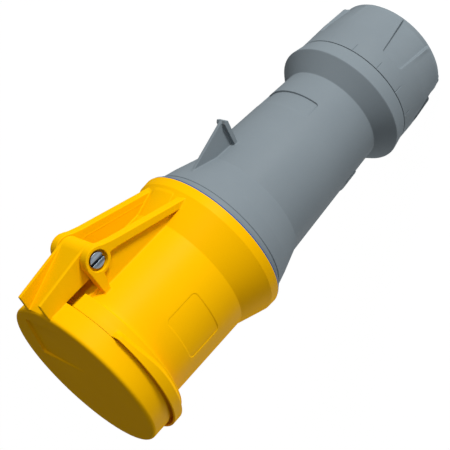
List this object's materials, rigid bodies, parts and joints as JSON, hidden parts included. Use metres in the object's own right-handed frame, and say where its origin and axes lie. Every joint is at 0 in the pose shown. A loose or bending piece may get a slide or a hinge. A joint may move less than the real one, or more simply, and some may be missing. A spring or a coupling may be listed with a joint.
{
  "type": "industrial cable coupler",
  "caption": "Round industrial cable coupler: socket contacts in a sleeve housing under a sprung hinged lid, with a grip handle and a screwed cable gland.",
  "frame": {"origin": "middle of the gland nut's rear face, on the cable axis, where the coupler stands", "axes": "+Z along the cable axis to the lid; the lid's hinge is on the -Y side and its pin lies along X"},
  "size_m": [0.1124, 0.1256, 0.3037],
  "materials": {
    "yellow_plastic": "satin",
    "grey_plastic": "satin",
    "insert_plastic": "matte",
    "seal_rubber": "matte",
    "gland_rubber": "matte",
    "clamp_plastic": "matte",
    "steel": "satin",
    "spring_steel": "satin",
    "contact_brass": "satin"
  },
  "bodies": {
    "housing": {"socket_shell": "yellow_plastic", "hinge_pin": "steel", "contact_insert": "insert_plastic", "contact_carrier": "insert_plastic", "contact_rings": "spring_steel", "terminal_screws": "steel", "insert_screws": "steel", "joint_seal": "seal_rubber", "handle": "grey_plastic", "gland_clamp": "clamp_plastic", "gland_seal": "gland_rubber", "earth_contact": "contact_brass", "line_contact_1": "contact_brass", "line_contact_2": "contact_brass", "pilot_contact": "contact_brass"},
    "lid": {"lid": "yellow_plastic", "lid_gasket": "seal_rubber", "lid_spring": "spring_steel"},
    "slip_washer": {"gland_washer": "clamp_plastic"},
    "cap_nut": {"gland_nut": "grey_plastic"}
  },
  "joints": [
    {"name": "lid_hinge", "type": "hinge", "parent": "housing", "child": "lid", "pos_m": [0, -0.0609, 0.2632], "axis": [1, 0, 0], "range_deg": [0, 120], "stiffness_Nm_per_rad": 0.06, "springref_deg": -68.75},
    {"name": "nut_travel", "type": "slide", "parent": "housing", "child": "slip_washer", "axis": [0, 0, -1], "range_m": [0, 0.006]},
    {"name": "nut_spin", "type": "hinge", "parent": "slip_washer", "child": "cap_nut", "pos_m": [0, 0, 0], "axis": [0, 0, -1], "range_deg": [0, 720]}
  ],
  "couplings": [
    {"joint": "nut_spin", "follows": "nut_travel", "rad_per_m": 2094.4}
  ]
}
